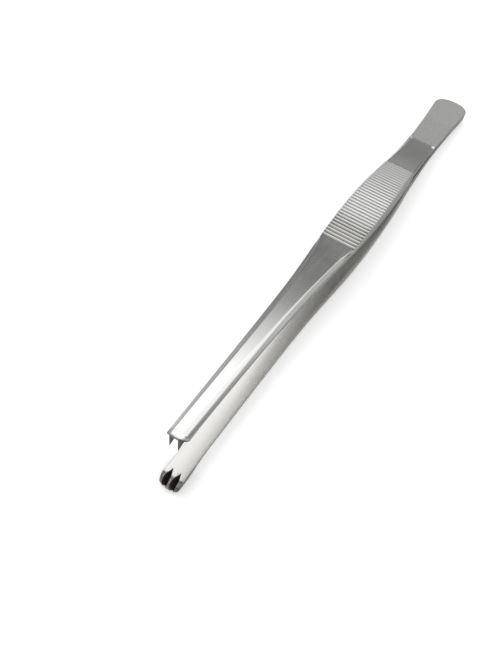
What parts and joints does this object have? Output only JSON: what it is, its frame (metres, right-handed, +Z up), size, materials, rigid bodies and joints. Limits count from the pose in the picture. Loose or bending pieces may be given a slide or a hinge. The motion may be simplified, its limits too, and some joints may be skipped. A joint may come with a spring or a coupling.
{
  "type": "toothed dressing forceps",
  "caption": "Straight spring forceps with bowed arms, cross-grooved finger grips and interlocking toothed tips, for holding tissue or dressings.",
  "frame": {"origin": "centre of the bounding box in plan, on the surface that the forceps lies on", "axes": "+Z up from that surface, -Y towards the toothed tips, +Y towards the welded tail, X across the arms"},
  "size_m": [0.0136, 0.2038, 0.0258],
  "materials": {
    "upper_arm_steel": "satin ground stainless steel with a polished tip",
    "lower_arm_steel": "satin ground stainless steel, inner face fine ground"
  },
  "bodies": {
    "lower": {"lower_arm": "lower_arm_steel"},
    "upper": {"upper_arm": "upper_arm_steel"}
  },
  "joints": [
    {"name": "arm_squeeze", "type": "hinge", "parent": "lower", "child": "upper", "pos_m": [0, 0.08261, 0.00392], "axis": [1, 0, 0], "range_deg": [0, 5.9], "stiffness_Nm_per_rad": 3, "springref_deg": -1.15}
  ]
}
